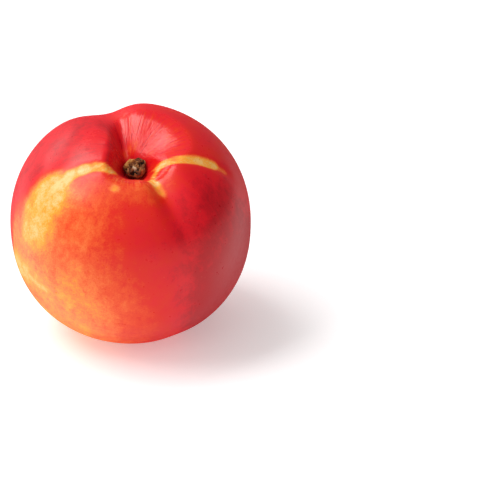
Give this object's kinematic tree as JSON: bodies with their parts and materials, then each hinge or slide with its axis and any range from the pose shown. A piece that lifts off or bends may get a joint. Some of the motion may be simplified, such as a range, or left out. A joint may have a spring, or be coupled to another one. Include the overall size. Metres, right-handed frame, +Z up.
{
  "type": "nectarine",
  "caption": "Whole ripe nectarine with smooth red and yellow skin, a deep stem cavity with a woody stub, and a suture, resting on a small flat spot.",
  "frame": {"origin": "on the resting surface, under the middle of the fruit's outline seen from above", "axes": "+Z up; the stem end leans 23 degrees from +Z towards -Y, the front; +X to the right of a viewer at the front"},
  "size_m": [0.0694, 0.0704, 0.0652],
  "materials": {
    "skin": "smooth waxy skin, yellow and orange blushed to deep crimson",
    "stem_wood": "dry, crumbly and fibrous"
  },
  "bodies": {
    "root": {"fruit": "skin", "stem_stub": "stem_wood"}
  },
  "joints": []
}
